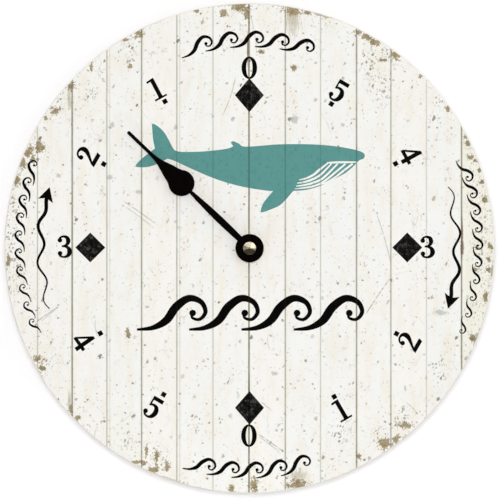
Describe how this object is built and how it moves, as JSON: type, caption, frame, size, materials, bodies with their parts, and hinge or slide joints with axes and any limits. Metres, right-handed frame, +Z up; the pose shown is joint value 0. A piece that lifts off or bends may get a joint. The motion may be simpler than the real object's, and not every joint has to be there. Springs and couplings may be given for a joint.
{
  "type": "tide clock",
  "caption": "Round wall tide clock: a printed plank-look dial board, one black spade hand and a battery quartz movement with its gear train.",
  "frame": {"origin": "on the hand's axis, in the plane of the movement's back, which is the wall", "axes": "+Z up, +X to the viewer's right, the dial faces -Y and +Y points into the wall"},
  "size_m": [0.2666, 0.033, 0.2666],
  "materials": {
    "fibreboard": "matt fibreboard with sealed edge",
    "printed_sheet": "matt printed sheet",
    "black_plastic": "fine matt moulding",
    "zinc_steel": "zinc plated",
    "brass": "turned brass",
    "black_rubber": "matt rubber",
    "black_enamel": "satin black coat",
    "warm_steel": "brushed, warm tone",
    "white_acetal": "natural acetal",
    "steel_arbor": "bright steel",
    "knob_plastic": "matt moulding",
    "ferrite": "sintered magnet",
    "soft_iron": "stamped soft iron",
    "bobbin_plastic": "natural nylon",
    "copper_wire": "enamelled copper",
    "circuit_resin": "green solder mask",
    "crystal_can": "drawn can",
    "black_resin": "poured resin",
    "battery_jacket": "plain metallic jacket",
    "contact_steel": "nickel plated"
  },
  "bodies": {
    "clock": {"dial_board": "fibreboard", "dial_sheet": "printed_sheet", "movement_case": "black_plastic", "back_cover": "black_plastic", "cover_screws": "zinc_steel", "bush": "brass", "hanger": "zinc_steel", "rubber_washer": "black_rubber", "brass_washer": "brass", "hex_nut": "brass", "stator": "soft_iron", "coil_core": "soft_iron", "coil_bobbin": "bobbin_plastic", "coil_winding": "copper_wire", "circuit_board": "circuit_resin", "quartz_crystal": "crystal_can", "chip_cover": "black_resin", "battery": "battery_jacket", "contact_plus": "contact_steel", "contact_minus": "contact_steel"},
    "tide_hand": {"tide_arbor": "brass", "tide_wheel": "white_acetal", "hand_collet": "brass", "hand": "black_enamel", "cap_nut": "warm_steel"},
    "reduction_gear": {"reduction_wheel": "white_acetal"},
    "centre_arbor": {"centre_pinion": "steel_arbor", "clutch_spring": "brass"},
    "setting_gear": {"setting_pinion": "white_acetal", "setting_knob": "knob_plastic"},
    "centre_gear": {"centre_wheel": "white_acetal"},
    "third_gear": {"third_wheel": "white_acetal"},
    "fourth_gear": {"fourth_wheel": "white_acetal"},
    "fifth_gear": {"fifth_wheel": "white_acetal"},
    "rotor": {"rotor_pinion": "white_acetal", "rotor_magnet": "ferrite"}
  },
  "joints": [
    {"name": "hand_turn", "type": "hinge", "parent": "clock", "child": "tide_hand", "pos_m": [0, 0, 0], "axis": [0, 1, 0], "continuous": true},
    {"name": "reduction_turn", "type": "hinge", "parent": "clock", "child": "reduction_gear", "pos_m": [0.00948, 0, -0.00167], "axis": [0, 1, 0], "continuous": true},
    {"name": "centre_pinion_turn", "type": "hinge", "parent": "clock", "child": "centre_arbor", "pos_m": [0, 0, 0], "axis": [0, 1, 0], "continuous": true},
    {"name": "setting_turn", "type": "hinge", "parent": "clock", "child": "setting_gear", "pos_m": [0.01657, 0, 0.00677], "axis": [0, 1, 0], "continuous": true},
    {"name": "rotor_turn", "type": "hinge", "parent": "clock", "child": "rotor", "pos_m": [-0.01554, 0, 0.0043], "axis": [0, 1, 0], "continuous": true},
    {"name": "fifth_turn", "type": "hinge", "parent": "clock", "child": "fifth_gear", "pos_m": [-0.01295, 0, 0.00985], "axis": [0, 1, 0], "continuous": true},
    {"name": "fourth_turn", "type": "hinge", "parent": "clock", "child": "fourth_gear", "pos_m": [-0.00646, 0, 0.01159], "axis": [0, 1, 0], "continuous": true},
    {"name": "third_turn", "type": "hinge", "parent": "clock", "child": "third_gear", "pos_m": [0.00153, 0, 0.00869], "axis": [0, 1, 0], "continuous": true},
    {"name": "centre_turn", "type": "hinge", "parent": "clock", "child": "centre_gear", "pos_m": [0, 0, 0], "axis": [0, 1, 0], "continuous": true}
  ],
  "couplings": [
    {"joint": "reduction_turn", "follows": "hand_turn", "ratio": -2.76},
    {"joint": "centre_pinion_turn", "follows": "hand_turn", "ratio": 12.42},
    {"joint": "setting_turn", "follows": "hand_turn", "ratio": 6.9},
    {"joint": "fifth_turn", "follows": "rotor_turn", "ratio": -0.16667},
    {"joint": "fourth_turn", "follows": "rotor_turn", "ratio": 0.033333},
    {"joint": "third_turn", "follows": "rotor_turn", "ratio": -0.0044444},
    {"joint": "centre_turn", "follows": "rotor_turn", "ratio": 0.00055556}
  ]
}
